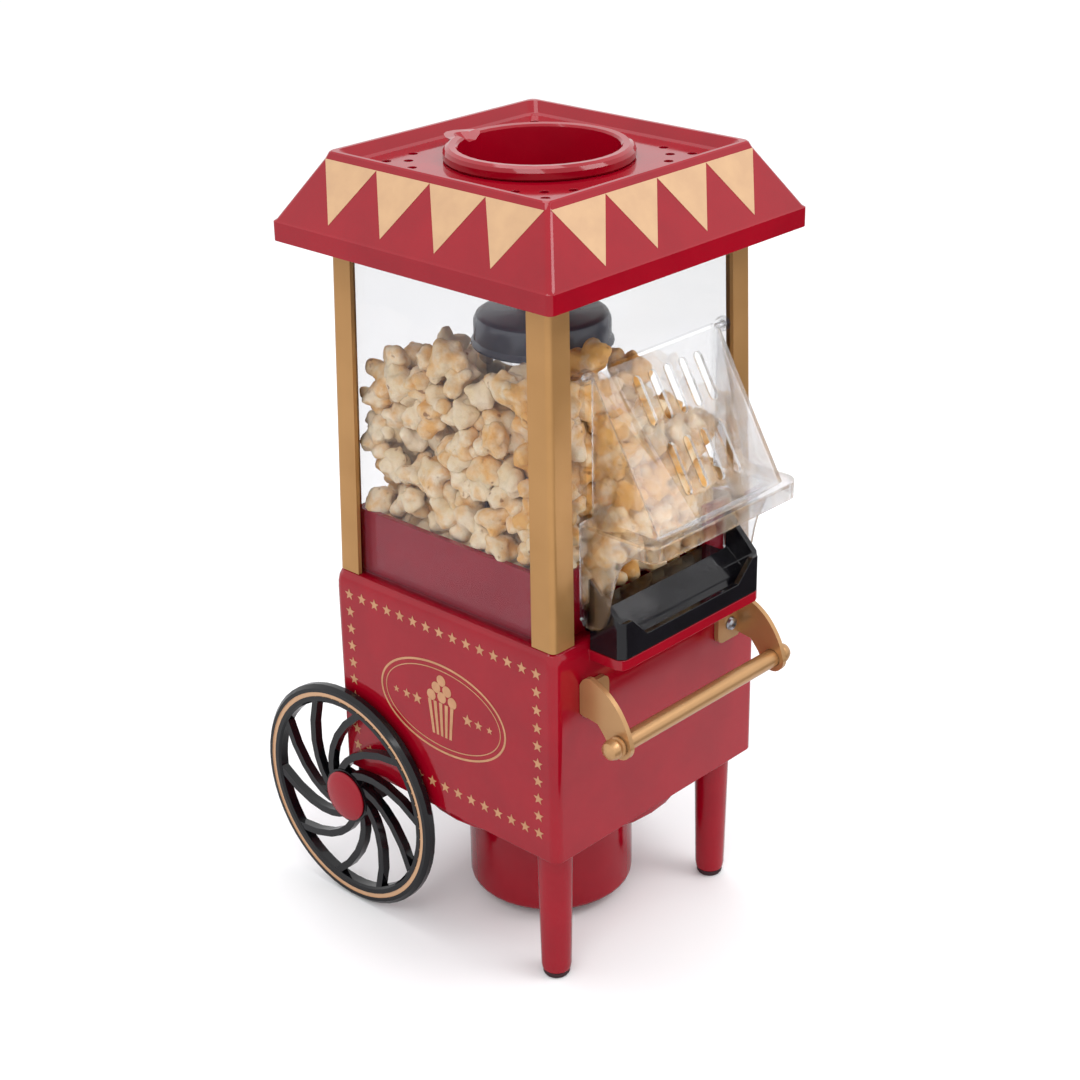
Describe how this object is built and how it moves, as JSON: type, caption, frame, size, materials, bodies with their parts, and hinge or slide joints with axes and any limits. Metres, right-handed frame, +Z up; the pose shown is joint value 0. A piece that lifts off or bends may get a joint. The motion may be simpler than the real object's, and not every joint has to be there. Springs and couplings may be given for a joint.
{
  "type": "popcorn maker",
  "caption": "Hot-air popcorn maker shaped like a street cart, with a clear cabinet, swing-up serving flap, lift-out measuring cup, spoked rear wheels and front legs.",
  "frame": {"origin": "on the floor, under the middle of the overall width and length", "axes": "+Z up; -Y is the front, where the flap, chute and handle are; +X is the right-hand side seen from behind the machine's front, so the left wheel is at -X"},
  "size_m": [0.1732, 0.238, 0.389],
  "materials": {
    "red_gloss": "moulded, high gloss",
    "clear_plastic": "clear, polished",
    "gold_plastic": "gold painted, satin",
    "gold_metal": "gold lacquered, satin",
    "black_gloss": "moulded, gloss",
    "black_satin": "moulded, fine texture",
    "dark_grey": "heat resistant, satin",
    "rubber": "moulded, matt",
    "steel": "zinc plated",
    "aluminium": "drawn, bright",
    "mica": "laminated sheet",
    "board": "solder-masked laminate"
  },
  "bodies": {
    "machine": {"base_housing": "red_gloss", "base_plate": "black_satin", "base_screw_1": "steel", "base_screw_2": "steel", "base_screw_3": "steel", "base_screw_4": "steel", "cabinet_top_frame": "red_gloss", "chimney_tube": "clear_plastic", "chute": "black_gloss", "cord_gland": "black_satin", "deflector_cap": "dark_grey", "drum_housing": "red_gloss", "foot_left": "rubber", "foot_right": "rubber", "handle_bar": "gold_metal", "handle_bracket_left": "gold_metal", "handle_bracket_right": "gold_metal", "handle_screw_left": "steel", "handle_screw_right": "steel", "heater_coil": "steel", "heater_duct": "steel", "heater_plate": "mica", "intake_grille": "black_satin", "leg_left": "red_gloss", "leg_right": "red_gloss", "motor": "steel", "motor_mount": "steel", "popcorn_tray": "red_gloss", "popping_chamber": "aluminium", "post_front_left": "gold_plastic", "post_front_right": "gold_plastic", "post_rear_left": "gold_plastic", "post_rear_right": "gold_plastic", "rectifier_board": "board", "roof": "red_gloss", "switch_bezel": "black_satin", "thermostat": "dark_grey", "wheel_axle": "steel", "window_front": "clear_plastic", "window_left": "clear_plastic", "window_rear": "clear_plastic", "window_right": "clear_plastic"},
    "flap": {"flap": "clear_plastic"},
    "cup": {"measuring_cup": "red_gloss"},
    "wheel_left": {"wheel_left": "black_gloss", "hub_cap_left": "red_gloss"},
    "wheel_right": {"wheel_right": "black_gloss", "hub_cap_right": "red_gloss"},
    "rocker": {"switch_rocker": "black_satin"},
    "fan": {"motor_shaft": "steel", "fan_impeller": "black_satin"}
  },
  "joints": [
    {"name": "flap_hinge", "type": "hinge", "parent": "machine", "child": "flap", "pos_m": [0, -0.07555, 0.307], "axis": [-1, 0, 0], "range_deg": [0, 75]},
    {"name": "cup_lift", "type": "slide", "parent": "machine", "child": "cup", "axis": [0, 0, 1], "range_m": [0, 0.045]},
    {"name": "wheel_left_spin", "type": "hinge", "parent": "machine", "child": "wheel_left", "pos_m": [-0.079, 0.05905, 0.06], "axis": [1, 0, 0], "continuous": true},
    {"name": "wheel_right_spin", "type": "hinge", "parent": "machine", "child": "wheel_right", "pos_m": [0.079, 0.05905, 0.06], "axis": [1, 0, 0], "continuous": true},
    {"name": "switch_rock", "type": "hinge", "parent": "machine", "child": "rocker", "pos_m": [0.034, 0.06675, 0.126], "axis": [-1, 0, 0], "range_deg": [0, 16]},
    {"name": "fan_spin", "type": "hinge", "parent": "machine", "child": "fan", "pos_m": [0, -0.00655, 0.06], "axis": [0, 0, 1], "continuous": true}
  ]
}
